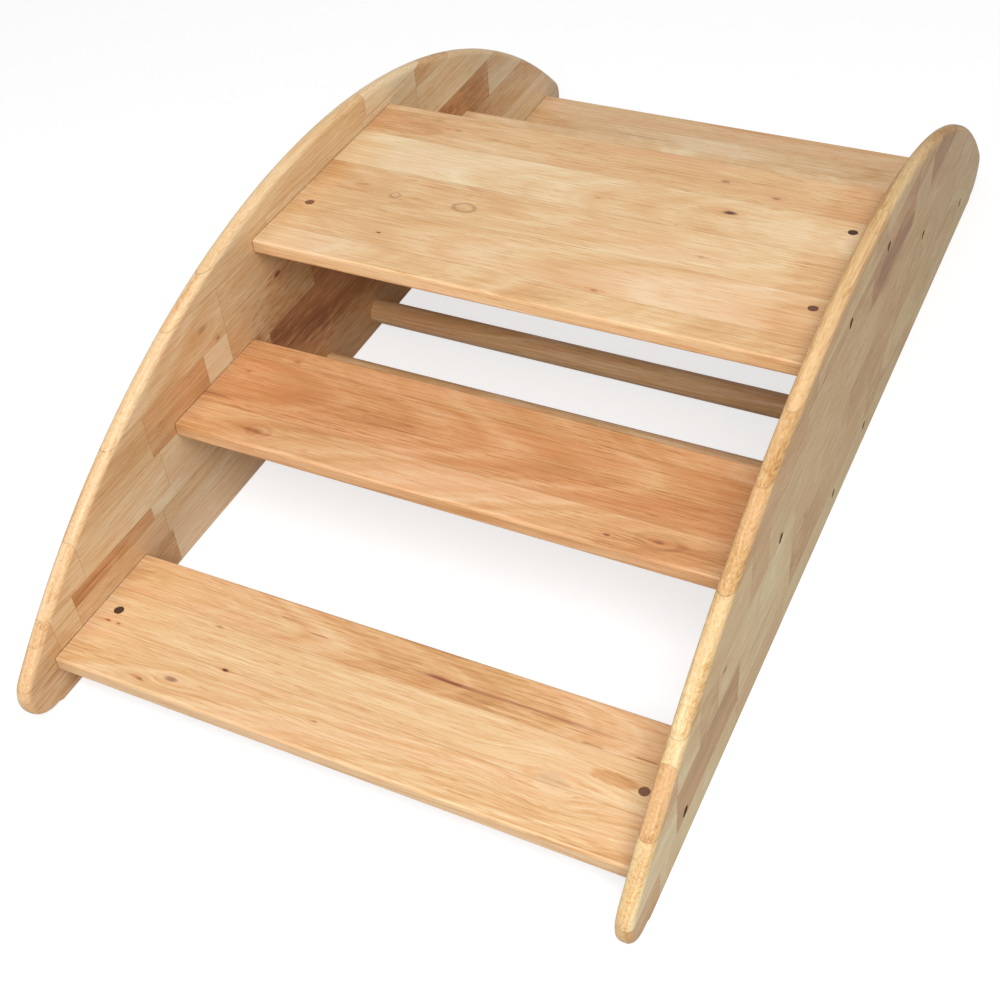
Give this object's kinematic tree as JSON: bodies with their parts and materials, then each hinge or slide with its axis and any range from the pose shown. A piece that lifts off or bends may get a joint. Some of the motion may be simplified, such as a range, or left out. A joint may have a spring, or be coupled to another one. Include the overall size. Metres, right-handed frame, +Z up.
{
  "type": "toddler step bridge and rocker",
  "caption": "Free-standing wooden step bridge for toddlers: half-moon side panels joined by flat treads and round rails; turned over, it rocks.",
  "frame": {"origin": "on the floor, under the middle of the object", "axes": "+X along the treads from the left panel to the right panel, +Y from the front steps to the rear steps, +Z up"},
  "size_m": [0.606, 1.1998, 0.293],
  "materials": {
    "panel_wood": "satin",
    "tread_wood": "satin",
    "rail_wood": "satin",
    "plug_wood": "satin",
    "dowel_wood": "matte",
    "bolt_steel": "satin",
    "nut_steel": "satin"
  },
  "bodies": {
    "root": {"left_panel": "panel_wood", "right_panel": "panel_wood", "top_tread": "tread_wood", "front_middle_tread": "tread_wood", "front_bottom_tread": "tread_wood", "rear_middle_tread": "tread_wood", "rear_bottom_tread": "tread_wood", "front_rail": "rail_wood", "rear_rail": "rail_wood", "top_bolts": "bolt_steel", "front_middle_bolts": "bolt_steel", "front_bottom_bolts": "bolt_steel", "rear_middle_bolts": "bolt_steel", "rear_bottom_bolts": "bolt_steel", "top_nuts": "nut_steel", "front_middle_nuts": "nut_steel", "front_bottom_nuts": "nut_steel", "rear_middle_nuts": "nut_steel", "rear_bottom_nuts": "nut_steel", "top_plugs": "plug_wood", "front_middle_plugs": "plug_wood", "front_bottom_plugs": "plug_wood", "rear_middle_plugs": "plug_wood", "rear_bottom_plugs": "plug_wood", "top_dowels": "dowel_wood", "front_middle_dowels": "dowel_wood", "front_bottom_dowels": "dowel_wood", "rear_middle_dowels": "dowel_wood", "rear_bottom_dowels": "dowel_wood", "front_rail_screws": "bolt_steel", "rear_rail_screws": "bolt_steel"}
  },
  "joints": []
}
